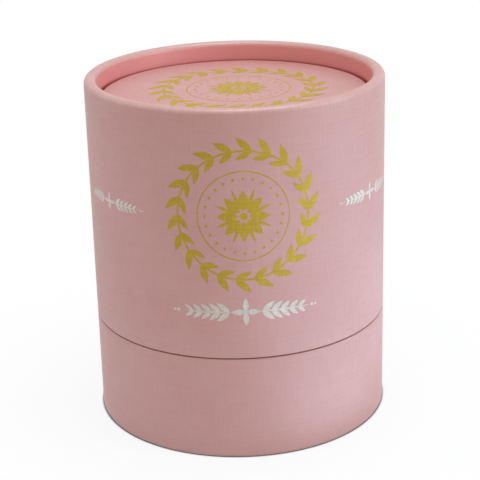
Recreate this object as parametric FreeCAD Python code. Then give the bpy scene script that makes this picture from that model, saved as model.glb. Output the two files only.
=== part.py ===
"""Round paperboard gift tube: a wrapped base with an inner neck, and a wrapped lid that lifts off it.

Millimetres, +Z up. The origin is the centre of the circle that the base stands on.
The decorated front faces -Y, and the glued overlap of each wrap runs up the back, at +Y.
"""

import FreeCAD, Part
import math
import os

# Overall sizes
OUTER_DIAMETER = 90.0
TOTAL_HEIGHT = 105.5
BASE_HEIGHT = 31.5
SEAM_GAP = 0.3  # open line between the closed lid and the base

# Papers, boards and the glue between them
WRAP_PAPER = 0.2  # textured pink paper
LINING_PAPER = 0.15  # plain white paper
GLUE_LINE = 0.05
TUBE_WALL = 3.2
NECK_WALL = 1.5
COLLAR_WALL = 1.5
PANEL_BOARD = 2.0

# Lid
LID_RECESS = 5.8  # from the rim down to the top panel
COLLAR_HEIGHT = 8.0  # board ring that carries the panel
PANEL_TURN_UNDER = 7.0  # panel paper folded under the panel's edge
RIM_TURN_PAST = 4.0  # how far the wrap goes on behind the collar after it turns in over the rim
MOUTH_TURN_IN = 12.0  # wrap folded up inside the lid's open end

# Base and neck
FOOT_RECESS = 2.5  # from the standing rim up to the bottom panel
FOOT_TURN_IN = 8.0
SHOULDER_TURN_IN = 6.0  # wrap folded down behind the neck
NECK_HEADROOM = 12.0  # between the neck and the collar of the closed lid
NECK_TURN_IN = 12.0

# Rounding of the boards' cut edges, which the paper folded over them follows
RIM_EDGE = 1.25
MOUTH_EDGE = 0.15
SHOULDER_EDGE = 0.15
FOOT_EDGE = 0.25
NECK_EDGE = 0.35
TOP_PANEL_EDGE = 0.85
BOTTOM_PANEL_EDGE = 0.25
COLLAR_EDGE = 0.4

# Fits, and the glued overlap of a wrap
NECK_CLEARANCE = 0.25  # all round, between the neck and the tubes that go over it
TOP_PANEL_CLEARANCE = 0.6  # all round, between the top panel and the folded rim
BOTTOM_PANEL_CLEARANCE = 0.2  # all round, between the bottom panel and the folded foot
BUTT_GAP = 0.1  # between two papers that meet edge to edge
OVERLAP_WIDTH = 12.0

# A rounded edge takes at most this share of the board that it is on
EDGE_LIMIT_SHARE = 0.45

# Radii, from the outside in
wrap_cover = WRAP_PAPER + GLUE_LINE
lining_cover = LINING_PAPER + GLUE_LINE
outer_radius = OUTER_DIAMETER / 2
tube_outer = outer_radius - wrap_cover
tube_inner = tube_outer - TUBE_WALL
fold_radius = tube_inner - wrap_cover
lining_radius = tube_inner - lining_cover
bore_radius = min(fold_radius, lining_radius)
collar_outer = bore_radius - GLUE_LINE
top_panel_radius = bore_radius - TOP_PANEL_CLEARANCE
bottom_panel_radius = bore_radius - BOTTOM_PANEL_CLEARANCE
neck_radius = bore_radius - NECK_CLEARANCE
neck_outer = neck_radius - lining_cover
neck_inner = neck_outer - NECK_WALL
neck_bore = neck_inner - lining_cover

# Heights of the lid, from the rim down
panel_paper_high = TOTAL_HEIGHT - LID_RECESS
lid_board_high = panel_paper_high - wrap_cover
lid_board_low = lid_board_high - PANEL_BOARD
panel_paper_low = lid_board_low - wrap_cover
collar_high = panel_paper_low - GLUE_LINE
collar_low = collar_high - COLLAR_HEIGHT
rim_turn_low = collar_high - RIM_TURN_PAST
lid_low = BASE_HEIGHT + SEAM_GAP

# Heights of the base, from the ground up
base_board_low = FOOT_RECESS + wrap_cover
base_board_high = base_board_low + PANEL_BOARD
neck_low = base_board_high + GLUE_LINE
neck_high = collar_low - NECK_HEADROOM


def limited(rounding, board):
    """An edge rounding that fits on a board of this thickness."""
    return min(rounding, EDGE_LIMIT_SHARE * board)


def section(corners):
    """Closed face in the XZ plane through square corners, each (radius, height, rounding)."""
    points = [FreeCAD.Vector(radius, 0, height) for radius, height, _ in corners]
    count = len(points)
    bends = []
    for index, (_, _, rounding) in enumerate(corners):
        corner = points[index]
        back = (points[index - 1] - corner).normalize()
        ahead = (points[(index + 1) % count] - corner).normalize()
        centre = corner + (back + ahead) * rounding
        middle = centre + (corner - centre) / math.sqrt(2)
        bends.append((corner + back * rounding, middle, corner + ahead * rounding))
    edges = []
    for index, (start, middle, end) in enumerate(bends):
        if corners[index][2] > 0:
            edges.append(Part.Arc(start, middle, end).toShape())
        edges.append(Part.LineSegment(end, bends[(index + 1) % count][0]).toShape())
    return Part.Face(Part.Wire(edges))


def revolved(corners, sweep=360):
    """Solid swept about the tube's axis by a section, counter-clockwise from +X."""
    return section(corners).revolve(FreeCAD.Vector(0, 0, 0), FreeCAD.Vector(0, 0, 1), sweep)


def ring(inner, outer, low, high, low_edge=0, high_edge=0):
    """Board tube or paper lining, with its cut ends rounded by the edges given."""
    return revolved(
        [
            (inner, low, low_edge),
            (outer, low, low_edge),
            (outer, high, high_edge),
            (inner, high, high_edge),
        ]
    )


def disc(radius, low, high, low_edge=0, high_edge=0):
    """Die-cut board or paper disc, with its rim rounded by the edges given."""
    return revolved([(0, low, 0), (radius, low, low_edge), (radius, high, high_edge), (0, high, 0)])


def glued_overlap(low, high):
    """Second thickness of paper where the two ends of a wrap overlap, up the back of the tube."""
    root = outer_radius - WRAP_PAPER / 2
    face = outer_radius + WRAP_PAPER
    sweep = math.degrees(OVERLAP_WIDTH / outer_radius)
    strip = revolved([(root, low, 0), (face, low, 0), (face, high, 0), (root, high, 0)], sweep)
    strip.rotate(FreeCAD.Vector(0, 0, 0), FreeCAD.Vector(0, 0, 1), 90 - sweep / 2)
    return strip


def tube_wrap(low, high, low_edge, high_edge, low_turn, high_turn):
    """Outer paper of a tube, folded over both cut ends and glued down inside up to the turns given."""
    low_fold = low_edge + wrap_cover
    high_fold = high_edge + wrap_cover
    fold_back = fold_radius + WRAP_PAPER
    wrap_back = outer_radius - WRAP_PAPER
    paper = revolved(
        [
            (fold_radius, high_turn, 0),
            (fold_radius, high, high_fold),
            (outer_radius, high, high_fold),
            (outer_radius, low, low_fold),
            (fold_radius, low, low_fold),
            (fold_radius, low_turn, 0),
            (fold_back, low_turn, 0),
            (fold_back, low + WRAP_PAPER, low_edge + GLUE_LINE),
            (wrap_back, low + WRAP_PAPER, low_edge + GLUE_LINE),
            (wrap_back, high - WRAP_PAPER, high_edge + GLUE_LINE),
            (fold_back, high - WRAP_PAPER, high_edge + GLUE_LINE),
            (fold_back, high_turn, 0),
        ]
    )
    return paper.fuse(glued_overlap(low + low_fold, high - high_fold)).removeSplitter()


def lid_shell():
    """Lid tube with the pink wrap outside it and the white lining between the wrap's two turn-ins."""
    rim = limited(RIM_EDGE, TUBE_WALL)
    mouth = limited(MOUTH_EDGE, TUBE_WALL)
    mouth_turn = lid_low + MOUTH_TURN_IN
    tube_low = lid_low + wrap_cover
    tube_high = TOTAL_HEIGHT - wrap_cover
    lining_back = lining_radius + LINING_PAPER
    return {
        "lid_tube": ring(tube_inner, tube_outer, tube_low, tube_high, mouth, rim),
        "lid_wrap": tube_wrap(lid_low, TOTAL_HEIGHT, mouth, rim, mouth_turn, rim_turn_low),
        "lid_lining": ring(lining_radius, lining_back, mouth_turn + BUTT_GAP, rim_turn_low - BUTT_GAP),
    }


def lid_top():
    """Paper-covered panel set down inside the rim, and the board collar under it."""
    edge = limited(TOP_PANEL_EDGE, PANEL_BOARD)
    fold = edge + wrap_cover
    under = top_panel_radius - PANEL_TURN_UNDER
    paper_back = top_panel_radius - WRAP_PAPER
    panel_paper = revolved(
        [
            (0, panel_paper_high, 0),
            (top_panel_radius, panel_paper_high, fold),
            (top_panel_radius, panel_paper_low, fold),
            (under, panel_paper_low, 0),
            (under, panel_paper_low + WRAP_PAPER, 0),
            (paper_back, panel_paper_low + WRAP_PAPER, edge + GLUE_LINE),
            (paper_back, panel_paper_high - WRAP_PAPER, edge + GLUE_LINE),
            (0, panel_paper_high - WRAP_PAPER, 0),
        ]
    )
    ceiling_high = lid_board_low - GLUE_LINE
    collar_edge = limited(COLLAR_EDGE, COLLAR_WALL)
    collar_inner = collar_outer - COLLAR_WALL
    return {
        "lid_panel": disc(top_panel_radius - wrap_cover, lid_board_low, lid_board_high, edge, edge),
        "lid_panel_paper": panel_paper,
        "lid_ceiling_paper": disc(under - BUTT_GAP, ceiling_high - LINING_PAPER, ceiling_high),
        "lid_collar": ring(collar_inner, collar_outer, collar_low, collar_high, collar_edge, collar_edge),
    }


def base_shell():
    """Base tube and wrap, and the covered bottom panel set up inside the standing rim."""
    foot = limited(FOOT_EDGE, TUBE_WALL)
    shoulder = limited(SHOULDER_EDGE, TUBE_WALL)
    edge = limited(BOTTOM_PANEL_EDGE, PANEL_BOARD)
    tube_high = BASE_HEIGHT - wrap_cover
    shoulder_turn = BASE_HEIGHT - SHOULDER_TURN_IN
    paper_back = bottom_panel_radius - WRAP_PAPER
    panel_paper = revolved(
        [
            (0, FOOT_RECESS, 0),
            (bottom_panel_radius, FOOT_RECESS, edge + wrap_cover),
            (bottom_panel_radius, base_board_high, 0),
            (paper_back, base_board_high, 0),
            (paper_back, FOOT_RECESS + WRAP_PAPER, edge + GLUE_LINE),
            (0, FOOT_RECESS + WRAP_PAPER, 0),
        ]
    )
    return {
        "base_tube": ring(tube_inner, tube_outer, wrap_cover, tube_high, foot, shoulder),
        "base_wrap": tube_wrap(0, BASE_HEIGHT, foot, shoulder, FOOT_TURN_IN, shoulder_turn),
        "base_panel": disc(bottom_panel_radius - wrap_cover, base_board_low, base_board_high, edge),
        "base_panel_paper": panel_paper,
    }


def neck():
    """Inner tube that stands on the bottom panel, guides the lid and holds the packed item."""
    edge = limited(NECK_EDGE, NECK_WALL)
    fold = edge + lining_cover
    turn = neck_high - NECK_TURN_IN
    fold_back = neck_bore + LINING_PAPER
    wrap_back = neck_radius - LINING_PAPER
    wrap = revolved(
        [
            (neck_radius, neck_low, 0),
            (neck_radius, neck_high, fold),
            (neck_bore, neck_high, fold),
            (neck_bore, turn, 0),
            (fold_back, turn, 0),
            (fold_back, neck_high - LINING_PAPER, edge + GLUE_LINE),
            (wrap_back, neck_high - LINING_PAPER, edge + GLUE_LINE),
            (wrap_back, neck_low, 0),
        ]
    )
    return {
        "neck_tube": ring(neck_inner, neck_outer, neck_low, neck_high - lining_cover, 0, edge),
        "neck_wrap": wrap,
        "neck_lining": ring(neck_bore, fold_back, neck_low, turn - BUTT_GAP),
        "base_floor_paper": disc(neck_bore - BUTT_GAP, neck_low, neck_low + LINING_PAPER),
    }


def main():
    """Write one STEP file for each piece."""
    os.makedirs("parts", exist_ok=True)
    for pieces in (lid_shell(), lid_top(), base_shell(), neck()):
        for name, shape in pieces.items():
            shape.exportStep(f"parts/{name}.step")


main()
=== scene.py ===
"""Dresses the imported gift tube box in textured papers, raw board and stamped foil, in a small studio."""

import math

import bmesh
import bpy
from mathutils import Matrix, Vector


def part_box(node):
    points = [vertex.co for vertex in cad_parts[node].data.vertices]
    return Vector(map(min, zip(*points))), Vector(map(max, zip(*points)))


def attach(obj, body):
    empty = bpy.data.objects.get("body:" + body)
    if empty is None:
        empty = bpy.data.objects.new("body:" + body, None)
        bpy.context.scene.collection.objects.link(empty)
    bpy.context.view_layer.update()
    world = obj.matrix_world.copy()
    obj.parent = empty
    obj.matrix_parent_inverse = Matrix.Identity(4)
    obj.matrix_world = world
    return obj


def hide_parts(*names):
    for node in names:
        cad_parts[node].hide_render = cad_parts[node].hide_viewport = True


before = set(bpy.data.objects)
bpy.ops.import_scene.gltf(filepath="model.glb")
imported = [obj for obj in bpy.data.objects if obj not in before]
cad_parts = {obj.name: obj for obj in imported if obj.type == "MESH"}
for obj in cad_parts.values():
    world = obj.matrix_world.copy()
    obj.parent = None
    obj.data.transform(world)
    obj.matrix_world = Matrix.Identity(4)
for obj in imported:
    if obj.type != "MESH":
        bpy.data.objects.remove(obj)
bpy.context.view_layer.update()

bl_info = {
    "name": "Gift Tube Box",
    "version": (1, 0, 0),
    "blender": (4, 5, 0),
    "location": "View3D > Sidebar > Gift Tube",
    "description": "Papers, boards and foil of a round gift tube box, with a studio to show it in",
    "category": "Object",
}

MM = 0.001
SEGMENTS = 384  # mesh columns round the tube
COLUMN_ANGLE = math.tau / SEGMENTS
FOLD_STEPS = 6  # mesh rows round a folded edge
LONGEST_RUN = 8 * MM  # between two mesh rows of a straight stretch
SHARP_EDGE = math.radians(32)
WELD_DISTANCE = 1e-6
FOIL_LAYER = 0.002 * MM  # step between shapes that cross in one foil design

WHITE_LIGHT = (1.0, 1.0, 1.0)
COOL_LIGHT = (0.7, 0.89, 1.0)
BLUE_LIGHT = (0.66, 0.82, 1.0)

LID_LOW, LID_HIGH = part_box("lid_wrap")
BASE_LOW, BASE_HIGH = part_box("base_wrap")
PANEL_LOW, PANEL_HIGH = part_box("lid_panel_paper")
LINING_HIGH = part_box("lid_lining")[1]
BOTTOM_LOW, BOTTOM_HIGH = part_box("base_panel_paper")
NECK_LOW, NECK_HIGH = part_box("neck_wrap")


def number(name, description, default, **kind):
    """Property for a number."""
    return bpy.props.FloatProperty(name=name, description=description, default=default, **kind)


def length(name, description, default):
    """Property for a length."""
    return number(name, description, default, unit="LENGTH", precision=5)


def angle(name, description, degrees):
    """Property for an angle, given in degrees."""
    return number(name, description, math.radians(degrees), subtype="ANGLE", unit="ROTATION")


def factor(name, description, default):
    """Property for a share from 0 to 1."""
    return number(name, description, default, min=0, max=1, subtype="FACTOR")


def watts(name, description, default):
    """Property for the power of a lamp."""
    return number(name, description, default, min=0, unit="POWER")


def how_many(name, description, default):
    """Property for a count."""
    return bpy.props.IntProperty(name=name, description=description, default=default, min=1)


def colour(name, description, default):
    """Property for a linear colour."""
    return bpy.props.FloatVectorProperty(
        name=name, description=description, default=default, size=3, min=0, max=1, subtype="COLOR"
    )


class GiftTubeSizes(bpy.types.PropertyGroup):
    """Sizes of the sheets that cover the tube."""

    outer_radius: length("Outer radius", "Outside of the pink wrap", LID_HIGH.x)
    wrap_paper: length("Wrap paper", "Thickness of the pink paper", 0.2 * MM)
    lining_paper: length("Lining paper", "Thickness of the white paper", 0.15 * MM)
    tube_wall: length("Folded wall", "Outer tube with the wrap on both faces", 3.7 * MM)
    neck_wall: length("Neck wall", "Neck tube with paper on both faces", 1.9 * MM)
    collar_wall: length("Collar wall", "Board ring under the top panel", 1.5 * MM)
    rim_fold: length("Rim fold", "Outside rounding of the wrap over the rim", 1.5 * MM)
    seam_fold: length("Seam fold", "Outside rounding of the wraps where lid and base meet", 0.4 * MM)
    foot_fold: length("Foot fold", "Outside rounding of the wrap under the base", 0.5 * MM)
    neck_fold: length("Neck fold", "Outside rounding of the paper over the neck's top", 0.55 * MM)
    top_fold: length("Top panel fold", "Outside rounding of the paper round the top panel", 1.1 * MM)
    bottom_fold: length("Bottom fold", "Outside rounding of the paper round the bottom panel", 0.5 * MM)
    collar_edge: length("Collar edge", "Rounding of the collar's cut edges", 0.4 * MM)
    mouth_turn_in: length("Mouth turn-in", "Wrap folded up inside the lid's open end", 12 * MM)
    foot_turn_in: length("Foot turn-in", "Wrap folded up inside the foot", 8 * MM)
    shoulder_turn_in: length("Shoulder turn-in", "Wrap folded down behind the neck", 6 * MM)
    neck_turn_in: length("Neck turn-in", "Neck paper folded down inside its top", 12 * MM)
    panel_turn_under: length("Panel turn-under", "Panel paper folded under the top panel", 7 * MM)
    butt_gap: length("Butt gap", "Between two papers that meet edge to edge", 0.1 * MM)
    overlap_columns: how_many("Overlap columns", "Half width of the glued overlap, in mesh columns", 8)


class GiftTubeFinish(bpy.types.PropertyGroup):
    """Colours and surface detail of papers, boards and foil."""

    pink: colour("Pink", "Main colour of the wrap", (0.530, 0.249, 0.243))
    pink_deep: colour("Deep pink", "Hollows of the linen emboss", (0.502, 0.230, 0.223))
    pink_worn: colour("Worn pink", "Paper rubbed pale along its folds", (0.56, 0.34, 0.325))
    # Painted shade: redder, deeper pink on the turned-in paper, standing in for light bounced round the
    # recess
    pink_tucked_shade: colour("Tucked pink", "Deeper paper where it is turned in", (0.71, 0.25, 0.242))
    # Painted shade: dark red paper colour in the narrow gap round the top panel, where little light gets
    # in
    crease_shade: colour("Crease", "Paper in the crease round the top panel", (0.47, 0.09, 0.086))
    # Rim pink is partly rubbed wear and partly a painted highlight along the rim's crest
    pink_rim_wear_and_highlight: colour("Rim pink", "Paper rubbed palest over the lid's rim", (0.56, 0.40, 0.38))
    paper_core: colour("Paper core", "Cut edge of the wrap at its overlap", (0.60, 0.42, 0.40))
    mottle: factor("Mottle", "Most worn pink in patches of the paper", 0.22)
    fold_wear: factor("Fold wear", "Most worn pink along a fold", 0.4)
    # Share of that wear and painted highlight
    rim_wear_and_highlight: factor("Rim wear", "Most rim pink over the lid's rim", 0.2)
    pearl: factor("Pearl", "Strength of the pearly coat on the pink paper", 0.2)
    rim_pearl: factor("Rim pearl", "Strength of that coat over the lid's rim", 0.26)
    tucked_pearl: factor("Tucked pearl", "Share of it left where the paper is turned in", 0.9)
    white: colour("White paper", "Main colour of the linings", (0.87, 0.85, 0.81))
    board: colour("Board", "Main colour of the raw board", (0.34, 0.31, 0.27))
    gold: colour("Gold foil", "Main colour of the gold stamping", (0.54, 0.375, 0.042))
    silver: colour("Silver foil", "Main colour of the silver stamping", (0.68, 0.64, 0.60))
    linen_pitch: length("Linen pitch", "Distance between embossed threads", 0.62 * MM)
    linen_depth: length("Linen depth", "Depth of the emboss", 0.06 * MM)
    paper_depth: length("Paper depth", "Roughness of the white paper", 0.03 * MM)
    board_depth: length("Board depth", "Roughness of the raw board", 0.08 * MM)


class GiftTubeFoil(bpy.types.PropertyGroup):
    """Places and sizes of the stamped ornaments."""

    front_radius: length("Front wreath radius", "Reach of the wreath on the lid's wall", 23.3 * MM)
    front_height: length("Front wreath height", "Centre of the wreath above the floor", 75.0 * MM)
    front_bearing: angle("Front bearing", "Turn of the front ornaments towards the right", 2)
    top_radius: length("Top wreath radius", "Reach of the wreath on the top panel", 28.0 * MM)
    top_x: length("Top wreath X", "Centre of the top wreath to the right", 1.2 * MM)
    top_y: length("Top wreath Y", "Centre of the top wreath to the back", 2.5 * MM)
    leaf_pairs: how_many("Wreath leaves", "Pairs of leaves round a wreath", 22)
    petals: how_many("Petals", "Petals of the flower in a wreath", 8)
    sprig_reach: length("Front sprig reach", "Half the length of the sprig under the wreath", 21.2 * MM)
    sprig_height: length("Front sprig height", "Height of that sprig above the floor", 46.3 * MM)
    sprig_star: length("Front star", "Size of the star in the front sprig", 8.6 * MM)
    side_reach: length("Side sprig reach", "Half the length of a sprig at the side", 15.0 * MM)
    side_height: length("Side sprig height", "Height of the side sprigs above the floor", 74.3 * MM)
    side_star: length("Side star", "Size of the star in a side sprig", 5.8 * MM)
    twig_pairs: how_many("Sprig leaves", "Pairs of leaves on each twig of a sprig", 5)
    left_bearing: angle("Left bearing", "Turn of the left sprig's centre", -55.5)
    right_bearing: angle("Right bearing", "Turn of the right sprig's centre", 59)
    proud: length("Proud", "How far the foil stands out of the paper", 0.03 * MM)
    thickness: length("Thickness", "Depth of the foil's solid", 0.09 * MM)


class GiftTubeStudio(bpy.types.PropertyGroup):
    """Camera, lamps and surroundings."""

    lens: number("Lens", "Focal length in millimetres", 106.07, min=1, unit="CAMERA")
    pitch: angle("Pitch", "Camera tilt below the horizon", 20.09)
    roll: angle("Roll", "Camera turn about its own line of sight", -1.553)
    distance: length("Distance", "From the camera to the point that it looks at", 441.93 * MM)
    aim_x: length("Aim X", "Point looked at, to the right", 0.4 * MM)
    aim_z: length("Aim Z", "Point looked at, above the floor", 51.69 * MM)
    overhead: watts("Overhead", "Overhead softbox", 2.76)
    window: watts("Window", "Softbox at the right", 1.04)
    card: watts("Card", "Card that lies at the right and shows in gloss", 0.9)
    strip: watts("Strip", "Small card close to the foot at the right", 0.006)
    sky: factor("Sky", "Even light from all round", 0.73)
    sky_tint: colour("Sky tint", "Colour of the even light", (1.0, 0.95, 0.88))
    room: colour("Room", "Room in front, as gloss shows it", (0.46, 0.32, 0.14))
    floor: colour("Floor", "Colour of the floor", (0.80, 0.85, 0.91))
    floor_reach: length("Floor reach", "Half the width of the floor", 2000 * MM)
    # Painted shadow: dark floor colour in a thin line where the foot meets the floor
    contact_shadow: colour("Contact", "Line where the foot meets the floor", (0.2, 0.18, 0.18))
    contact_shadow_width: length("Contact width", "Width of that line", 0.8 * MM)
    shade: factor("Shade", "White that the floor keeps beside the box", 0.88)


class Wire:
    """Output of a node. Sums of wires and numbers make the Math nodes that work them out."""

    def __init__(self, socket):
        self.socket = socket
        self.tree = socket.id_data

    def __add__(self, other):
        return maths("ADD", self, other)

    def __sub__(self, other):
        return maths("SUBTRACT", self, other)

    def __mul__(self, other):
        return maths("MULTIPLY", self, other)

    def __truediv__(self, other):
        return maths("DIVIDE", self, other)

    def parts(self):
        """X, Y and Z of a vector."""
        return [Wire(socket) for socket in node(self.tree, "ShaderNodeSeparateXYZ", [self]).outputs]

    def ranged(self, low, high, to_low=0, to_high=1):
        """Value mapped from one range to another."""
        return output(self.tree, "ShaderNodeMapRange", [self, low, high, to_low, to_high])


def feed(made, inputs):
    """Gives a node's inputs, named or in order, their wires or values."""
    for key, value in inputs.items() if isinstance(inputs, dict) else enumerate(inputs):
        if isinstance(value, Wire):
            made.id_data.links.new(value.socket, made.inputs[key])
        else:
            made.inputs[key].default_value = value


def node(tree, kind, inputs=(), **fields):
    """New node with its fields and inputs set."""
    made = tree.nodes.new(kind)
    for name, value in fields.items():
        setattr(made, name, value)
    feed(made, inputs)
    return made


def output(tree, kind, inputs=(), key=0, **fields):
    """Wire from an output of a new node."""
    return Wire(node(tree, kind, inputs, **fields).outputs[key])


def wires(made):
    """Wires from a node's outputs, by name."""
    return {socket.name: Wire(socket) for socket in made.outputs}


def tree_of(values):
    """Tree of the first wire among some values."""
    return next(value.tree for value in values if isinstance(value, Wire))


def maths(operation, *values):
    """Wire from a Math node."""
    return output(tree_of(values), "ShaderNodeMath", values, operation=operation)


def whole(operation, *values):
    """Wire from an Integer Math node."""
    return output(tree_of(values), "FunctionNodeIntegerMath", values, operation=operation)


def combined(*values):
    """Vector of X, Y and Z."""
    return output(tree_of(values), "ShaderNodeCombineXYZ", values)


def from_axis(x, y):
    """Distance from the tube's axis."""
    return maths("SQRT", x * x + y * y)


def round_axis(radius, bearing, height):
    """Point at a bearing from the front."""
    return combined(radius * maths("SINE", bearing), radius * (maths("COSINE", bearing) * -1), height)


def spaced(items):
    """Items with a space for each underscore in their names."""
    return {name.replace("_", " "): value for name, value in items.items()}


def new_tree(name, kind, results, sockets):
    """Empty node group, the wires from its inputs by name, and its end node."""
    tree = bpy.data.node_groups.new(name, kind)
    for way, items in (("INPUT", spaced(sockets)), ("OUTPUT", results)):
        for label, socket in items.items():
            tree.interface.new_socket(label, in_out=way, socket_type="NodeSocket" + socket)
    return tree, wires(tree.nodes.new("NodeGroupInput")), tree.nodes.new("NodeGroupOutput")


def shape_group(name, **sockets):
    """New geometry group."""
    return new_tree(name, "GeometryNodeTree", {"Geometry": "Geometry"}, sockets)


def surface_group(name, results, **sockets):
    """New shader group."""
    return new_tree(name, "ShaderNodeTree", results, sockets)


def built(name):
    """Node group of this name, made once."""
    if name not in bpy.data.node_groups:
        TREES[name](name)
    return bpy.data.node_groups[name]


def group(name, **inputs):
    """Wires from a node group that is placed in the tree of its inputs."""
    tree = tree_of(inputs.values())
    kind = "ShaderNodeGroup" if tree.type == "SHADER" else "GeometryNodeGroup"
    return wires(node(tree, kind, spaced(inputs), node_tree=built(name)))


def field(tree, name):
    """Position or Index of the points."""
    return output(tree, "GeometryNodeInput" + name)


def grid(tree, columns, rows):
    """Square mesh of points, a unit wide, about the origin."""
    return output(tree, "GeometryNodeMeshGrid", {"Vertices X": columns, "Vertices Y": rows})


def moved(geometry, position):
    """Geometry with its points set to a position."""
    return output(geometry.tree, "GeometryNodeSetPosition", {"Geometry": geometry, "Position": position})


def welded(geometry):
    """Geometry with its meeting points merged."""
    merge = {"Geometry": geometry, "Distance": WELD_DISTANCE}
    return output(geometry.tree, "GeometryNodeMergeByDistance", merge)


def placed(geometry, **move):
    """Geometry with a Translation or a Rotation."""
    return output(geometry.tree, "GeometryNodeTransform", {"Geometry": geometry, **move})


def sunk(geometry, layers):
    """Geometry a little lower, so that crossing shapes don't share a face."""
    return placed(geometry, Translation=(0, 0, -layers * FOIL_LAYER))


def joined(parts):
    """All the parts as one geometry."""
    join = node(parts[0].tree, "GeometryNodeJoinGeometry")
    for part in parts:
        feed(join, [part])
    return Wire(join.outputs[0])


def realized(geometry):
    """Geometry with its instances made real."""
    return output(geometry.tree, "GeometryNodeRealizeInstances", {"Geometry": geometry})


def finished(geometry, given, result):
    """Ends a tree in plain mesh with its material."""
    dress = {"Geometry": realized(geometry), "Material": given["Material"]}
    feed(result, [output(geometry.tree, "GeometryNodeSetMaterial", dress)])


def turned_sheet_tree(name):
    """Turns a profile, drawn as a chain of points in the XZ plane, about the tube's axis."""
    sockets = {"Profile": "Geometry", "Segments": "Int", "Closing_Rows": "Int", "Material": "Material"}
    tree, given, result = shape_group(name, **sockets)
    profile, segments = given["Profile"], given["Segments"]
    points = output(tree, "GeometryNodeAttributeDomainSize", {"Geometry": profile}, component="MESH")
    rows = whole("ADD", points, given["Closing Rows"])
    index = field(tree, "Index")
    row = whole("MODULO", whole("MODULO", index, rows), points)
    bearing = whole("DIVIDE_FLOOR", index, rows) / segments * math.tau

    def at_row(value, kind):
        sample = {"Geometry": profile, "Value": value, "Index": row}
        return output(tree, "GeometryNodeSampleIndex", sample, data_type=kind)

    radius, _, height = at_row(field(tree, "Position"), "FLOAT_VECTOR").parts()
    fold = output(tree, "GeometryNodeInputNamedAttribute", {"Name": "fold"}, data_type="FLOAT")
    sheet = moved(grid(tree, whole("ADD", segments, 1), rows), round_axis(radius, bearing, height))
    note = {"Geometry": sheet, "Name": "fold", "Value": at_row(fold, "FLOAT")}
    sheet = output(tree, "GeometryNodeStoreNamedAttribute", note, data_type="FLOAT", domain="POINT")
    finished(welded(sheet), given, result)


def glued_overlap_tree(name):
    """Lifts the strip at the back of a wrap where its two ends are glued over each other."""
    edge_width = 0.06  # of the cut edge, in columns
    sockets = {"Sheet": "Geometry", "Half_Angle": "Float", "Outer_Radius": "Float", "Paper": "Float"}
    tree, given, result = shape_group(name, **sockets, Material="Material")
    half, outer, paper = given["Half Angle"], given["Outer Radius"], given["Paper"]
    x, y, z = field(tree, "Position").parts()
    bearing = maths("ARCTAN2", x, y)
    off = maths("ABSOLUTE", bearing)
    inside = maths("LESS_THAN", off, half + 0.5 * COLUMN_ANGLE)
    beside = maths("LESS_THAN", off, half + 1.5 * COLUMN_ANGLE) - inside
    turn = (off + beside * (half + edge_width * COLUMN_ANGLE - off)) * maths("SIGN", bearing)
    radius = from_axis(x, y)
    lift = radius.ranged(outer - paper * 0.5, outer, 0, paper)
    radius = radius + lift * inside
    place = combined(radius * maths("SINE", turn), radius * maths("COSINE", turn), z)
    finished(moved(given["Sheet"], place), given, result)


def foil_leaf_tree(name):
    """Pointed leaf that lies along +X from the origin."""
    belly_power = 0.85  # below 1, so that the leaf is widest nearer its stem
    tree, given, result = shape_group(name, Length="Float", Width="Float")
    x, y, _ = field(tree, "Position").parts()
    along = x + 0.5
    belly = maths("SINE", maths("POWER", along, belly_power) * math.pi)
    place = combined(along * given["Length"], y * given["Width"] * belly, 0)
    feed(result, [welded(moved(grid(tree, columns=15, rows=5), place))])


def foil_ring_tree(name):
    """Flat ring about the origin. With half its width as its radius it is a bead."""
    tree, given, result = shape_group(name, Radius="Float", Width="Float", Segments="Int")
    x, y, _ = field(tree, "Position").parts()
    bearing = (x + 0.5) * math.tau
    radius = given["Radius"] - y * given["Width"]
    place = combined(radius * maths("COSINE", bearing), radius * maths("SINE", bearing), 0)
    feed(result, [welded(moved(grid(tree, whole("ADD", given["Segments"], 1), rows=2), place))])


FOIL_PLACE = {"Bend_Radius": "Float", "Bearing": "Float", "Place": "Vector", "Proud": "Float"}
FOIL_DESIGN = {"Geometry": "Geometry", "Reach": "Float", "Leaf_Pairs": "Int", "Material": "Material"}


def lay_foil_tree(name):
    """Bends a flat design round the lid's wall, or lays it on the top panel where the bend is 0."""
    tree, given, result = shape_group(name, Design="Geometry", **FOIL_PLACE)
    bend = given["Bend Radius"]
    x, y, z = field(tree, "Position").parts()
    right, back, up = given["Place"].parts()
    raised = z + given["Proud"]
    bent = round_axis(bend + raised, x / bend + given["Bearing"], y + up)
    flat = combined(x + right, y + back, raised + up)
    choice = {"Switch": maths("GREATER_THAN", bend, 0), "False": flat, "True": bent}
    place = output(tree, "GeometryNodeSwitch", choice, input_type="VECTOR")
    feed(result, [moved(given["Design"], place)])


def stamped(parts, given, result):
    """Ends a foil tree: lays its parts on the lid as one design."""
    place = {name: given[name.replace("_", " ")] for name in FOIL_PLACE}
    laid = group("Lay Foil", Design=realized(joined(parts)), **place)
    finished(laid["Geometry"], given, result)


def leaf(along, across):
    """Foil leaf of a length and a width."""
    return group("Foil Leaf", Length=along, Width=across)["Geometry"]


def ring(radius, width, segments):
    """Foil ring or bead."""
    return group("Foil Ring", Radius=radius, Width=width, Segments=segments)["Geometry"]


def copied(shape, points, rotation, scale):
    """A copy of a shape on each point."""
    copies = {"Points": points, "Instance": shape, "Rotation": rotation, "Scale": scale}
    return output(shape.tree, "GeometryNodeInstanceOnPoints", copies)


def around(shape, count, radius, splay=0, scale=1):
    """Copies of a shape round a circle, each turned by a splay from the outward direction."""
    points = output(shape.tree, "GeometryNodeMeshCircle", {"Vertices": count, "Radius": radius})
    turn = combined(0, 0, field(shape.tree, "Index") * math.tau / count + splay)
    rotation = output(shape.tree, "FunctionNodeEulerToRotation", [turn])
    return copied(shape, points, rotation, (scale, scale, 1))


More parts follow.
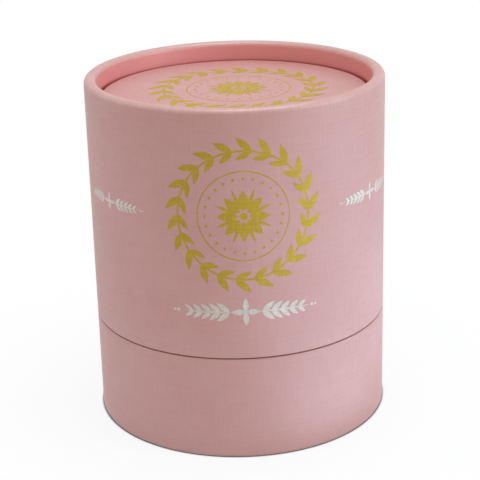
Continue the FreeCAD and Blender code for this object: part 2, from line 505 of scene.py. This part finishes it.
def foil_wreath_tree(name):
    """Ring of paired leaves round a flower. Its sizes are shares of its reach."""
    _, given, result = shape_group(name, **FOIL_DESIGN, **FOIL_PLACE, Petals="Int")
    reach, pairs, petals = given["Reach"], given["Leaf Pairs"], given["Petals"]
    outer_splay, inner_splay, inner_scale = math.radians(56), math.radians(124), 0.86
    stem = reach * 0.81
    wreath_leaf = leaf(reach * 0.262, reach * 0.088)
    petal = leaf(reach * 0.26, reach * 0.12)
    sepal = leaf(reach * 0.27, reach * 0.042)
    half_petal = combined(0, 0, maths("DIVIDE", math.pi, petals))
    sepals = placed(around(sepal, petals, reach * 0.1), Rotation=half_petal)
    bead = ring(reach * 0.009, reach * 0.018, segments=14)
    parts = [
        around(wreath_leaf, pairs, stem, outer_splay),
        around(wreath_leaf, pairs, stem, inner_splay, inner_scale),
        around(petal, petals, reach * 0.065),
        sunk(sepals, layers=2),
        sunk(ring(stem, reach * 0.024, segments=180), layers=4),
        ring(reach * 0.56, reach * 0.014, segments=160),
        around(bead, petals * 3, reach * 0.47),
        ring(reach * 0.024, reach * 0.048, segments=24),
    ]
    stamped(parts, given, result)


def foil_sprig_tree(name):
    """Star between two leafy twigs that end in beads. Its sizes are shares of its reach and its star."""
    tree, given, result = shape_group(name, **FOIL_DESIGN, **FOIL_PLACE, Star="Float")
    reach, star, pairs = given["Reach"], given["Star"], given["Leaf Pairs"]

    def row(shape, count, start, step, splay, shrink):
        ends = {"Start Location": combined(reach * start, 0, 0), "Offset": combined(reach * step, 0, 0)}
        line = output(tree, "GeometryNodeMeshLine", {"Count": count, **ends})
        size = maths("SUBTRACT", 1, field(tree, "Index") * shrink)
        return copied(shape, line, (0, 0, splay), combined(size, size, 1))

    twig_leaf = leaf(star * 0.54, star * 0.19)
    twig = placed(leaf(reach * 0.76, star * 0.075), Translation=combined(reach * 0.15, 0, 0))
    bead = ring(star * 0.03, star * 0.06, segments=14)
    splay = math.radians(38)
    leaf_row = {"start": 0.22, "step": 0.125, "shrink": 0.085}
    leaves = [row(twig_leaf, pairs, splay=turn, **leaf_row) for turn in (splay, -splay)]
    beads = row(bead, count=2, start=0.93, step=0.055, splay=0, shrink=0.3)
    half = joined([*leaves, sunk(twig, layers=3), beads])
    point = leaf(star * 0.5, star * 0.2)
    stamped([half, placed(half, Rotation=(0, 0, math.pi)), around(point, 4, 0)], given, result)


def noise(vector, scale=1, detail=2, roughness=0.5):
    """Value of a noise texture."""
    inputs = {"Vector": vector, "Scale": scale, "Detail": detail, "Roughness": roughness}
    return output(vector.tree, "ShaderNodeTexNoise", inputs)


def scaled(vector, by):
    """Vector times another."""
    return output(vector.tree, "ShaderNodeVectorMath", [vector, by], operation="MULTIPLY")


def tube_sheet_tree(name):
    """Millimetres round and up a paper that is rolled about the tube's axis and folded over its ends."""
    results = {"Sheet": "Vector"}
    _, given, result = surface_group(name, results, Vector="Vector", Radius="Float")
    x, y, z = given["Vector"].parts()
    run = maths("ARCTAN2", x, y * -1) * given["Radius"]
    rise = (z + from_axis(x, y)) * (1 / MM)
    feed(result, [combined(run, rise, 0)])


def linen_tree(name):
    """Emboss of crossed threads of uneven length. Height and mottle vary about a half."""
    thread_stretch = 0.09  # a thread's width over its length
    level_offset = 7.3  # keeps the two sets of threads apart in the noise
    results = {"Height": "Float", "Mottle": "Float"}
    _, given, result = surface_group(name, results, Sheet="Vector", Pitch="Float")
    run, rise, _ = given["Sheet"].parts()
    run, rise = run / given["Pitch"], rise / given["Pitch"]
    upright = noise(combined(run, rise * thread_stretch, 0), detail=1)
    level = noise(combined(run * thread_stretch, rise, level_offset), detail=1)
    mottle = noise(given["Sheet"], scale=0.05, detail=3, roughness=0.6)
    feed(result, [(upright + level) * 0.5, mottle])


def fibre_tree(name):
    """Matted fibres and flecks of plain paper and raw board, on millimetres."""
    results = {"Height": "Float", "Fleck": "Float", "Mottle": "Float"}
    tree, given, result = surface_group(name, results, Vector="Vector", Scale="Float")
    vector, scale = given["Vector"], given["Scale"]
    upright_stretch = (1, 1, 0.35)
    fleck_core, fleck_edge = 0.05, 0.16  # from the centre of a fleck's cell
    fine = noise(vector, scale * 3, detail=4, roughness=0.65)
    strands = noise(scaled(vector, upright_stretch), scale * 1.3, detail=3, roughness=0.6)
    cells = {"Vector": vector, "Scale": scale * 0.55, "Randomness": 1}
    spots = output(tree, "ShaderNodeTexVoronoi", cells, key="Distance")
    fleck = spots.ranged(fleck_core, fleck_edge, 1, 0)
    feed(result, [(fine + strands) * 0.5, fleck, noise(vector, scale * 0.08)])


TREES = {
    "Turned Sheet": turned_sheet_tree,
    "Glued Overlap": glued_overlap_tree,
    "Foil Leaf": foil_leaf_tree,
    "Foil Ring": foil_ring_tree,
    "Lay Foil": lay_foil_tree,
    "Foil Wreath": foil_wreath_tree,
    "Foil Sprig": foil_sprig_tree,
    "Tube Sheet": tube_sheet_tree,
    "Linen Emboss": linen_tree,
    "Paper Fibre": fibre_tree,
}


def added(name, data):
    """New object in the scene."""
    made = bpy.data.objects.new(name, data)
    bpy.context.scene.collection.objects.link(made)
    return made


def give_tree(piece, name, inputs):
    """Adds a geometry tree to a piece, with its inputs set by identifier."""
    modifier = piece.modifiers.new(name, "NODES")
    modifier.node_group = built(name)
    for item in modifier.node_group.interface.items_tree:
        if item.in_out == "INPUT" and item.name in inputs:
            modifier[item.identifier] = inputs[item.name]


def settle(piece):
    """Turns a piece's modifiers into its plain mesh, with faces outwards and sharp folds kept sharp."""
    view = bpy.context.evaluated_depsgraph_get()
    whole_piece = piece.evaluated_get(view)
    mesh = bpy.data.meshes.new_from_object(whole_piece, preserve_all_data_layers=True, depsgraph=view)
    piece.modifiers.clear()
    piece.data = mesh
    mesh.name = piece.name
    shape = bmesh.new()
    shape.from_mesh(mesh)
    bmesh.ops.recalc_face_normals(shape, faces=shape.faces)
    shape.to_mesh(mesh)
    shape.free()
    mesh.shade_smooth()
    mesh.set_sharp_from_angle(angle=SHARP_EDGE)


def rounded_profile(corners, closed):
    """Points of a profile, each with how folded it is, through corners of (radius, height, fold)."""
    count = len(corners)
    bends = []
    for index, (radius, height, fold) in enumerate(corners):
        corner = Vector((radius, height))
        if not fold:
            bends.append([(corner, 0.0)])
            continue
        back = (Vector(corners[index - 1][:2]) - corner).normalized()
        ahead = (Vector(corners[(index + 1) % count][:2]) - corner).normalized()
        centre = corner + (back + ahead) * fold
        bend = []
        for step in range(FOLD_STEPS + 1):
            turn = math.pi / 2 * step / FOLD_STEPS
            place = centre - (ahead * math.cos(turn) + back * math.sin(turn)) * fold
            bend.append((place, math.sin(math.pi * step / FOLD_STEPS)))
        bends.append(bend)
    chain = []
    for index, bend in enumerate(bends):
        chain.extend(bend)
        if index == count - 1 and not closed:
            break
        start, end = bend[-1][0], bends[(index + 1) % count][0][0]
        cuts = math.ceil((end - start).length / LONGEST_RUN)
        chain.extend((start.lerp(end, cut / cuts), 0.0) for cut in range(1, cuts))
    return [(place.x, place.y, folded) for place, folded in chain]


def turned_piece(name, corners, material, body, closed=True, overlap=False):
    """Sheet or board ring turned from a profile, which stands for the CAD node of its name."""
    profile = rounded_profile(corners, closed)
    mesh = bpy.data.meshes.new(name + "_profile")
    mesh.from_pydata([(radius, 0, height) for radius, height, _ in profile], [], [])
    folds = mesh.attributes.new("fold", "FLOAT", "POINT")
    folds.data.foreach_set("value", [folded for _, _, folded in profile])
    piece = added(name + "_sheet", mesh)
    turning = {"Segments": SEGMENTS, "Closing Rows": int(closed), "Material": material}
    give_tree(piece, "Turned Sheet", turning)
    if overlap:
        sizes = bpy.context.scene.gift_tube_sizes
        half = sizes.overlap_columns * COLUMN_ANGLE
        strip = {"Half Angle": half, "Outer Radius": sizes.outer_radius, "Paper": sizes.wrap_paper}
        give_tree(piece, "Glued Overlap", {**strip, "Material": material})
    settle(piece)
    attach(piece, body)
    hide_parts(name)


def foil_piece(name, tree, material, place, bearing=None, **design):
    """Thin stamped ornament that rides on the lid: round its wall at a bearing, or flat without one."""
    foil = bpy.context.scene.gift_tube_foil
    inputs = {
        "Bend Radius": 0.0 if bearing is None else bpy.context.scene.gift_tube_sizes.outer_radius,
        "Bearing": bearing or 0.0,
        "Place": place,
        "Proud": foil.proud,
        "Material": material,
    }
    piece = added(name, bpy.data.meshes.new(name))
    give_tree(piece, tree, {**inputs, **spaced(design)})
    solid = piece.modifiers.new("Foil thickness", "SOLIDIFY")
    solid.thickness = foil.thickness
    solid.offset = -1
    settle(piece)
    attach(piece, "lid")


def sign(value):
    """1, 0 or -1."""
    return (value > 0) - (value < 0)


def sheet_corners(path, paper):
    """Corners of a sheet: the square path of its face, then its back to the right, or left below 0."""
    rights = [(sign(end[1] - start[1]), sign(start[0] - end[0])) for start, end in zip(path, path[1:])]
    back = []
    for (radius, height, fold), before, after in zip(path, [rights[0], *rights], [*rights, rights[-1]]):
        steps = {before, after}
        radius += paper * sum(across for across, _ in steps)
        height += paper * sum(up for _, up in steps)
        back.append((radius, height, fold and fold - abs(paper)))
    return [*path, *reversed(back)]


def wrap_corners(bottom, top):
    """Corners of an outer wrap from the height, fold and turn-in of both ends of its tube."""
    sizes = bpy.context.scene.gift_tube_sizes
    outer = sizes.outer_radius
    inner = outer - sizes.tube_wall
    low, low_fold, low_turn = bottom
    high, high_fold, high_turn = top
    path = [
        (inner, high_turn, 0),
        (inner, high, high_fold),
        (outer, high, high_fold),
        (outer, low, low_fold),
        (inner, low, low_fold),
        (inner, low_turn, 0),
    ]
    return sheet_corners(path, sizes.wrap_paper)


def ring_piece(name, wall, material, body, edge=0.0):
    """Plain ring with a wall of this thickness, or a disc where it is 0, in the box of its CAD node."""
    low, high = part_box(name)
    inner = high.x - wall if wall else 0
    corners = [(inner, low.z, edge), (high.x, low.z, edge), (high.x, high.z, edge), (inner, high.z, edge)]
    turned_piece(name, corners, material, body, closed=bool(wall))


def new_material(name):
    """Empty material, its surface shader, and the place that its patterns are measured from."""
    material = bpy.data.materials.new(name)
    material.use_nodes = True
    tree = material.node_tree
    tree.nodes.clear()
    shader = tree.nodes.new("ShaderNodeBsdfPrincipled")
    node(tree, "ShaderNodeOutputMaterial", {"Surface": Wire(shader.outputs[0])})
    return material, shader, output(tree, "ShaderNodeTexCoord", key="Object")


def surface(look):
    """Makes the material of a name once, from a function that gives what its shader is fed."""

    def material(name, *tint, **form):
        if name not in bpy.data.materials:
            _, shader, place = new_material(name)
            feed(shader, look(bpy.context.scene.gift_tube_finish, place, *tint, **form))
        return bpy.data.materials[name]

    return material


def opaque(tint):
    """Colour with full alpha. A wire stays as it is."""
    return tint if isinstance(tint, Wire) else (*tint, 1)


def mixed(share, first, second):
    """Colour between two colours, by a share that varies over the surface."""
    inputs = {"Factor": share, "A": opaque(first), "B": opaque(second)}
    return output(share.tree, "ShaderNodeMix", inputs, "Result", data_type="RGBA", clamp_factor=True)


def relief(height, depth, strength):
    """Normal of a surface with this height."""
    inputs = {"Height": height, "Strength": strength, "Distance": depth}
    return output(height.tree, "ShaderNodeBump", inputs)


def sheet_place(place, flat):
    """Millimetres along and across a paper that is laid flat or rolled round the tube."""
    if flat:
        return scaled(place, (1 / MM, 1 / MM, 0))
    sizes = bpy.context.scene.gift_tube_sizes
    start = {"Vector": place, "Rotation": (0, 0, sizes.overlap_columns * COLUMN_ANGLE)}
    turned = output(place.tree, "ShaderNodeMapping", start)
    return group("Tube Sheet", Vector=turned, Radius=sizes.outer_radius / MM)["Sheet"]


def fibres(place, scale):
    """Fibre group on millimetres."""
    return group("Paper Fibre", Vector=scaled(place, (1 / MM, 1 / MM, 1 / MM)), Scale=scale)


@surface
def pink_linen(finish, place, flat=False):
    """Pearly pink linen-embossed paper, rolled round a tube or laid flat on a panel."""
    tuck_share = 0.2  # of the rim's fold, where the painted shade of the turned-in paper begins
    crease_low, crease_high = -0.2 * MM, 0.3 * MM  # from the panel's face
    cut_start, cut_end = 0.22, 0.1  # in millimetres from the paper's end
    cut_share = 0.6  # of the bare core, along that cut edge
    least_wear = 0.05  # in the hollows of the emboss
    sizes = bpy.context.scene.gift_tube_sizes
    sheet = sheet_place(place, flat)
    linen = group("Linen Emboss", Sheet=sheet, Pitch=finish.linen_pitch / MM)
    height = linen["Height"]
    fold = output(place.tree, "ShaderNodeAttribute", key="Fac", attribute_name="fold")
    x, y, z = place.parts()
    radius = from_axis(x, y)
    rim = z.ranged(LID_HIGH.z - sizes.rim_fold, LID_HIGH.z - sizes.wrap_paper)
    if flat:
        tucked = radius.ranged(PANEL_HIGH.x - sizes.top_fold, PANEL_HIGH.x)
    else:
        inner = sizes.outer_radius - sizes.tube_wall
        tucked = radius.ranged(inner, inner + tuck_share * sizes.rim_fold, 1, 0)
    # Painted shade: the foot of the recess wall and the panel's edge are coloured dark where the gap round
    # the panel is shaded
    beside_panel = z.ranged(PANEL_HIGH.z + crease_low, PANEL_HIGH.z + crease_high, 1, 0)
    crease_shade_mask = beside_panel * maths("GREATER_THAN", z, LINING_HIGH.z) * tucked

    tone = mixed(height.ranged(0.36, 0.64), finish.pink_deep, finish.pink)
    tone = mixed(linen["Mottle"].ranged(0.3, 0.7, 0, finish.mottle), tone, finish.pink_worn)
    tone = mixed(fold * height.ranged(0.4, 0.62, least_wear, finish.fold_wear), tone, finish.pink_worn)
    # Rubbed wear and a painted highlight: the rim's fold is paler on the tops of the linen
    tone = mixed(rim * height.ranged(0.4, 0.6, least_wear, finish.rim_wear_and_highlight), tone, finish.pink_rim_wear_and_highlight)
    # Painted shade: the turned-in paper and the panel's rounded edge take the deeper red of the shaded
    # recess
    tone = mixed(tucked, tone, finish.pink_tucked_shade)
    tone = mixed(crease_shade_mask, tone, finish.crease_shade)
    if not flat:
        half_round = math.pi * sizes.outer_radius / MM
        from_front = maths("ABSOLUTE", sheet.parts()[0])
        cut_edge = from_front.ranged(half_round - cut_start, half_round - cut_end, 0, cut_share)
        outside = radius.ranged(sizes.outer_radius - 2 * sizes.wrap_paper, sizes.outer_radius)
        tone = mixed(cut_edge * outside, tone, finish.paper_core)
    pearl = rim.ranged(0, 1, finish.pearl, finish.rim_pearl)
    return {
        "Base Color": tone,
        "Coat Weight": pearl * tucked.ranged(0, 1, 1, finish.tucked_pearl),
        "Coat IOR": 4.0,
        "Coat Roughness": 0.5,
        "Roughness": height.ranged(0.35, 0.65, 0.54, 0.46),
        "Normal": relief(height, finish.linen_depth, strength=0.8),
    }


@surface
def plain_paper(finish, place, rubbed=False):
    """Uncoated off-white paper, with upright streaks where the lid rubs along it."""
    dull_share, bright_share, fleck_share, rub_share = 0.93, 1.05, 0.6, 0.78  # of the paper's own colour
    fleck_strength, rub_strength = 0.12, 0.22
    streak_stretch = 0.03  # a streak's width over its length
    fibre = fibres(place, scale=1)
    white = Vector(finish.white)
    tone = mixed(fibre["Mottle"], white * dull_share, white * bright_share)
    tone = mixed(fibre["Fleck"] * fleck_strength, tone, white * fleck_share)
    if rubbed:
        run, rise, _ = group("Tube Sheet", Vector=place, Radius=NECK_HIGH.x / MM)["Sheet"].parts()
        streak = noise(combined(run, rise * streak_stretch, 0), scale=1.4, detail=3, roughness=0.6)
        tone = mixed(streak.ranged(0.5, 0.75, 0, rub_strength), tone, white * rub_share)
    roughness = fibre["Height"].ranged(0.3, 0.7, 0.9, 0.72)
    normal = relief(fibre["Height"], finish.paper_depth, strength=0.4)
    return {"Base Color": tone, "Roughness": roughness, "Normal": normal}


@surface
def raw_board(finish, place):
    """Grey recycled board with darker flecks."""
    dull_share, bright_share, fleck_share = 0.78, 1.2, 0.5  # of the board's own colour
    fleck_strength = 0.5
    fibre = fibres(place, scale=1.6)
    board = Vector(finish.board)
    tone = mixed(fibre["Height"].ranged(0.35, 0.65), board * dull_share, board * bright_share)
    tone = mixed(fibre["Fleck"] * fleck_strength, tone, board * fleck_share)
    roughness = fibre["Height"].ranged(0.3, 0.7, 0.96, 0.86)
    normal = relief(fibre["Height"], finish.board_depth, strength=0.5)
    return {"Base Color": tone, "Roughness": roughness, "Normal": normal}


@surface
def stamped_foil(finish, place, tint, flat=False):
    """Hot-stamped metal foil that follows the linen under it and is thin in its hollows."""
    dull_share = 0.8  # of the foil's own colour, in the hollows
    linen = group("Linen Emboss", Sheet=sheet_place(place, flat), Pitch=finish.linen_pitch / MM)
    height = linen["Height"]
    return {
        "Base Color": mixed(height.ranged(0.34, 0.66), Vector(tint) * dull_share, tint),
        "Roughness": linen["Mottle"].ranged(0.3, 0.7, 0.5, 0.62),
        "Metallic": height.ranged(0.3, 0.7, 0.42, 0.68),
        "Normal": relief(height, finish.linen_depth, strength=0.6),
    }


class GIFT_TUBE_OT_lid_shell(bpy.types.Operator):
    """Wrap of the lid, folded over its rim and mouth, and the white lining inside it"""

    bl_idname = "gift_tube.lid_shell"
    bl_label = "Lid Wrap and Lining"

    def execute(self, context):
        sizes = context.scene.gift_tube_sizes
        mouth = (LID_LOW.z, sizes.seam_fold, LID_LOW.z + sizes.mouth_turn_in)
        rim = (LID_HIGH.z, sizes.rim_fold, LINING_HIGH.z + sizes.butt_gap)
        pink = pink_linen("pink_linen_rolled")
        turned_piece("lid_wrap", wrap_corners(mouth, rim), pink, "lid", overlap=True)
        white = plain_paper("white_paper")
        ring_piece("lid_lining", sizes.lining_paper, white, "lid")
        return {"FINISHED"}


class GIFT_TUBE_OT_lid_top(bpy.types.Operator):
    """Covered panel set down inside the rim, its ceiling paper and the collar that carries it"""

    bl_idname = "gift_tube.lid_top"
    bl_label = "Lid Panel and Collar"

    def execute(self, context):
        sizes = context.scene.gift_tube_sizes
        path = [
            (0, PANEL_HIGH.z, 0),
            (PANEL_HIGH.x, PANEL_HIGH.z, sizes.top_fold),
            (PANEL_HIGH.x, PANEL_LOW.z, sizes.top_fold),
            (PANEL_HIGH.x - sizes.panel_turn_under, PANEL_LOW.z, 0),
        ]
        panel = sheet_corners(path, sizes.wrap_paper)
        pink = pink_linen("pink_linen_flat", flat=True)
        turned_piece("lid_panel_paper", panel, pink, "lid", closed=False)
        ring_piece("lid_ceiling_paper", 0, plain_paper("white_paper"), "lid")
        board = raw_board("grey_board")
        ring_piece("lid_collar", sizes.collar_wall, board, "lid", sizes.collar_edge)
        return {"FINISHED"}


class GIFT_TUBE_OT_base_shell(bpy.types.Operator):
    """Wrap of the base and the paper under its bottom panel"""

    bl_idname = "gift_tube.base_shell"
    bl_label = "Base Wrap and Bottom"

    def execute(self, context):
        sizes = context.scene.gift_tube_sizes
        foot = (BASE_LOW.z, sizes.foot_fold, BASE_LOW.z + sizes.foot_turn_in)
        shoulder = (BASE_HIGH.z, sizes.seam_fold, BASE_HIGH.z - sizes.shoulder_turn_in)
        pink = pink_linen("pink_linen_rolled")
        turned_piece("base_wrap", wrap_corners(foot, shoulder), pink, "base", overlap=True)
        path = [
            (0, BOTTOM_LOW.z, 0),
            (BOTTOM_HIGH.x, BOTTOM_LOW.z, sizes.bottom_fold),
            (BOTTOM_HIGH.x, BOTTOM_HIGH.z, 0),
        ]
        bottom = sheet_corners(path, -sizes.wrap_paper)
        pink = pink_linen("pink_linen_flat", flat=True)
        turned_piece("base_panel_paper", bottom, pink, "base", closed=False)
        return {"FINISHED"}


class GIFT_TUBE_OT_neck(bpy.types.Operator):
    """White papers of the neck and the floor inside it"""

    bl_idname = "gift_tube.neck"
    bl_label = "Neck Papers"

    def execute(self, context):
        sizes = context.scene.gift_tube_sizes
        inner = NECK_HIGH.x - sizes.neck_wall
        path = [
            (NECK_HIGH.x, NECK_LOW.z, 0),
            (NECK_HIGH.x, NECK_HIGH.z, sizes.neck_fold),
            (inner, NECK_HIGH.z, sizes.neck_fold),
            (inner, NECK_HIGH.z - sizes.neck_turn_in, 0),
        ]
        wrap = sheet_corners(path, -sizes.lining_paper)
        rubbed = plain_paper("white_paper_rubbed", rubbed=True)
        turned_piece("neck_wrap", wrap, rubbed, "base")
        white = plain_paper("white_paper")
        ring_piece("neck_lining", sizes.lining_paper, white, "base")
        ring_piece("base_floor_paper", 0, white, "base")
        return {"FINISHED"}


class GIFT_TUBE_OT_boards(bpy.types.Operator):
    """Raw board on the tubes and panels under the papers"""

    bl_idname = "gift_tube.boards"
    bl_label = "Boards"

    def execute(self, context):
        for name in ("lid_tube", "lid_panel", "base_tube", "base_panel", "neck_tube"):
            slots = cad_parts[name].data.materials
            slots.clear()
            slots.append(raw_board("grey_board"))
        return {"FINISHED"}


class GIFT_TUBE_OT_gold_wreaths(bpy.types.Operator):
    """Gold foil wreaths on the lid's front and top"""

    bl_idname = "gift_tube.gold_wreaths"
    bl_label = "Gold Wreaths"

    def execute(self, context):
        foil = context.scene.gift_tube_foil
        gold = context.scene.gift_tube_finish.gold
        counts = {"Leaf_Pairs": foil.leaf_pairs, "Petals": foil.petals}
        rolled = stamped_foil("gold_foil_rolled", gold)
        front = {"place": (0, 0, foil.front_height), "bearing": foil.front_bearing}
        foil_piece("front_wreath", "Foil Wreath", rolled, **front, Reach=foil.front_radius, **counts)
        flat = stamped_foil("gold_foil_flat", gold, flat=True)
        top = (foil.top_x, foil.top_y, PANEL_HIGH.z)
        foil_piece("top_wreath", "Foil Wreath", flat, top, Reach=foil.top_radius, **counts)
        return {"FINISHED"}


class GIFT_TUBE_OT_silver_sprigs(bpy.types.Operator):
    """Silver foil sprigs under the front wreath and at both sides"""

    bl_idname = "gift_tube.silver_sprigs"
    bl_label = "Silver Sprigs"

    def execute(self, context):
        foil = context.scene.gift_tube_foil
        silver = stamped_foil("silver_foil_rolled", context.scene.gift_tube_finish.silver)
        front = {"place": (0, 0, foil.sprig_height), "Reach": foil.sprig_reach, "Star": foil.sprig_star}
        side = {"place": (0, 0, foil.side_height), "Reach": foil.side_reach, "Star": foil.side_star}
        sprigs = {
            "front_sprig": (foil.front_bearing, front),
            "left_sprig": (foil.left_bearing, side),
            "right_sprig": (foil.right_bearing, side),
        }
        for name, (bearing, design) in sprigs.items():
            foil_piece(name, "Foil Sprig", silver, bearing=bearing, Leaf_Pairs=foil.twig_pairs, **design)
        return {"FINISHED"}


def softbox(name, power, tint, size, place):
    """Rectangular lamp that faces the box."""
    lamp = bpy.data.lights.new(name, "AREA")
    lamp.shape = "RECTANGLE"
    lamp.size, lamp.size_y = size
    lamp.energy = power
    lamp.color = tint
    holder = added(name, lamp)
    holder.location = place
    towards = Vector((0, 0, LID_LOW.z)) - holder.location
    holder.rotation_euler = towards.to_track_quat("-Z", "Y").to_euler()
    return holder


def gloss_card(name, power, size, place, degrees):
    """Card of light that lies just above the floor, faces up and shows only in gloss."""
    card = softbox(name, power, BLUE_LIGHT, size, place)
    card.rotation_euler = (math.pi, 0, math.radians(degrees))
    card.visible_camera = card.visible_diffuse = False


def seen_white(near):
    """Rays that see the surroundings straight or in gloss, and the colour that they see."""
    path = wires(node(near.tree, "ShaderNodeLightPath"))
    straight = maths("MAXIMUM", path["Is Camera Ray"], path["Is Transmission Ray"])
    room = bpy.context.scene.gift_tube_studio.room
    return straight, path["Is Glossy Ray"], mixed(maths("MAXIMUM", straight, near), room, WHITE_LIGHT)


def pale_floor(scene):
    """Pale floor that looks white, with a soft shade and a thin painted shadow line round the foot."""
    room_end, white_start = -280 * MM, -30 * MM
    shade_start, shade_end = 50 * MM, 130 * MM
    studio = scene.gift_tube_studio
    foot = scene.gift_tube_sizes.outer_radius
    shape = bmesh.new()
    bmesh.ops.create_grid(shape, x_segments=8, y_segments=8, size=studio.floor_reach)
    mesh = bpy.data.meshes.new("floor")
    shape.to_mesh(mesh)
    shape.free()
    floor = added("floor", mesh)
    material, shader, place = new_material("pale_floor")
    away = output(place.tree, "ShaderNodeVectorMath", [place], key="Value", operation="LENGTH")
    # Painted contact shadow: the floor's colour turns dark within a thin band round the foot
    contact_shadow = away.ranged(foot, foot + studio.contact_shadow_width)
    feed(shader, {"Base Color": mixed(contact_shadow, studio.contact_shadow, studio.floor), "Roughness": 0.8})
    kept = maths("MINIMUM", contact_shadow, away.ranged(shade_start, shade_end, studio.shade, 1))
    straight, gloss, tint = seen_white(place.parts()[1].ranged(room_end, white_start))
    seen = maths("MAXIMUM", straight * kept, gloss)
    white = output(place.tree, "ShaderNodeEmission", {"Color": tint, "Strength": 1})
    blend = output(place.tree, "ShaderNodeMixShader", [seen, Wire(shader.outputs[0]), white])
    feed(place.tree.get_output_node("ALL"), {"Surface": blend})
    mesh.materials.append(material)


def surroundings(scene):
    """Even light from all round, which looks white, with a dim room in front where gloss shows it."""
    room_end, white_start = -1, -0.3
    studio = scene.gift_tube_studio
    scene.world = bpy.data.worlds.new("Studio")
    scene.world.use_nodes = True
    tree = scene.world.node_tree
    tree.nodes.clear()
    towards_back = output(tree, "ShaderNodeTexCoord", key="Object").parts()[1]
    straight, gloss, tint = seen_white(towards_back.ranged(room_end, white_start))
    sky = output(tree, "ShaderNodeBackground", {"Color": opaque(studio.sky_tint), "Strength": studio.sky})
    white = output(tree, "ShaderNodeBackground", {"Color": tint, "Strength": 1})
    seen = maths("MAXIMUM", straight, gloss)
    blend = output(tree, "ShaderNodeMixShader", [seen, sky, white])
    node(tree, "ShaderNodeOutputWorld", {"Surface": blend})


def camera(scene):
    """Camera that looks at the front from a little above."""
    studio = scene.gift_tube_studio
    data = bpy.data.cameras.new("Camera")
    data.lens = studio.lens
    data.sensor_width = 36
    data.clip_start = 10 * MM
    turn = Matrix.Rotation(math.pi / 2 - studio.pitch, 4, "X") @ Matrix.Rotation(studio.roll, 4, "Z")
    eye = Vector((studio.aim_x, 0, studio.aim_z)) + turn @ Vector((0, 0, studio.distance))
    scene.camera = added("Camera", data)
    scene.camera.matrix_world = Matrix.Translation(eye) @ turn


class GIFT_TUBE_OT_studio(bpy.types.Operator):
    """Pale floor, soft lamps, white surroundings and the camera"""

    bl_idname = "gift_tube.studio"
    bl_label = "Studio"

    def execute(self, context):
        studio = context.scene.gift_tube_studio
        context.scene.view_settings.view_transform = "Standard"
        pale_floor(context.scene)
        surroundings(context.scene)
        softbox("Overhead", studio.overhead, WHITE_LIGHT, size=(0.3, 0.3), place=(0.08, 0.0, 0.95))
        softbox("Window", studio.window, COOL_LIGHT, size=(0.25, 0.25), place=(0.52, -0.19, 0.24))
        gloss_card("Card", studio.card, size=(0.7, 0.34), place=(0.362, -0.199, 0.0006), degrees=-25)
        by_foot = (0.0445, -0.0445, 0.0008)
        gloss_card("Strip", studio.strip, size=(0.024, 0.07), place=by_foot, degrees=-45)
        camera(context.scene)
        return {"FINISHED"}


class GIFT_TUBE_PT_panel(bpy.types.Panel):
    """Steps and settings of the gift tube box"""

    bl_idname = "GIFT_TUBE_PT_panel"
    bl_label = "Gift Tube"
    bl_space_type = "VIEW_3D"
    bl_region_type = "UI"
    bl_category = "Gift Tube"

    def draw(self, context):
        for step in STEPS:
            self.layout.operator(step.bl_idname)
        for name, kind in SETTINGS.items():
            settings = getattr(context.scene, name)
            column = self.layout.column()
            for key in kind.__annotations__:
                column.prop(settings, key)


SETTINGS = {
    "gift_tube_sizes": GiftTubeSizes,
    "gift_tube_finish": GiftTubeFinish,
    "gift_tube_foil": GiftTubeFoil,
    "gift_tube_studio": GiftTubeStudio,
}
STEPS = (
    GIFT_TUBE_OT_lid_shell,
    GIFT_TUBE_OT_lid_top,
    GIFT_TUBE_OT_base_shell,
    GIFT_TUBE_OT_neck,
    GIFT_TUBE_OT_boards,
    GIFT_TUBE_OT_gold_wreaths,
    GIFT_TUBE_OT_silver_sprigs,
    GIFT_TUBE_OT_studio,
)
CLASSES = (*SETTINGS.values(), *STEPS, GIFT_TUBE_PT_panel)


def register():
    """Adds the settings, steps and panel to Blender."""
    for kind in CLASSES:
        bpy.utils.register_class(kind)
    for name, kind in SETTINGS.items():
        setattr(bpy.types.Scene, name, bpy.props.PointerProperty(type=kind))


def unregister():
    """Takes them out again."""
    for name in SETTINGS:
        delattr(bpy.types.Scene, name)
    for kind in reversed(CLASSES):
        bpy.utils.unregister_class(kind)


def main():
    """Builds the box and its studio."""
    register()
    bpy.ops.gift_tube.lid_shell()
    bpy.ops.gift_tube.lid_top()
    bpy.ops.gift_tube.base_shell()
    bpy.ops.gift_tube.neck()
    bpy.ops.gift_tube.boards()
    bpy.ops.gift_tube.gold_wreaths()
    bpy.ops.gift_tube.silver_sprigs()
    bpy.ops.gift_tube.studio()


if __name__ == "__main__":
    main()
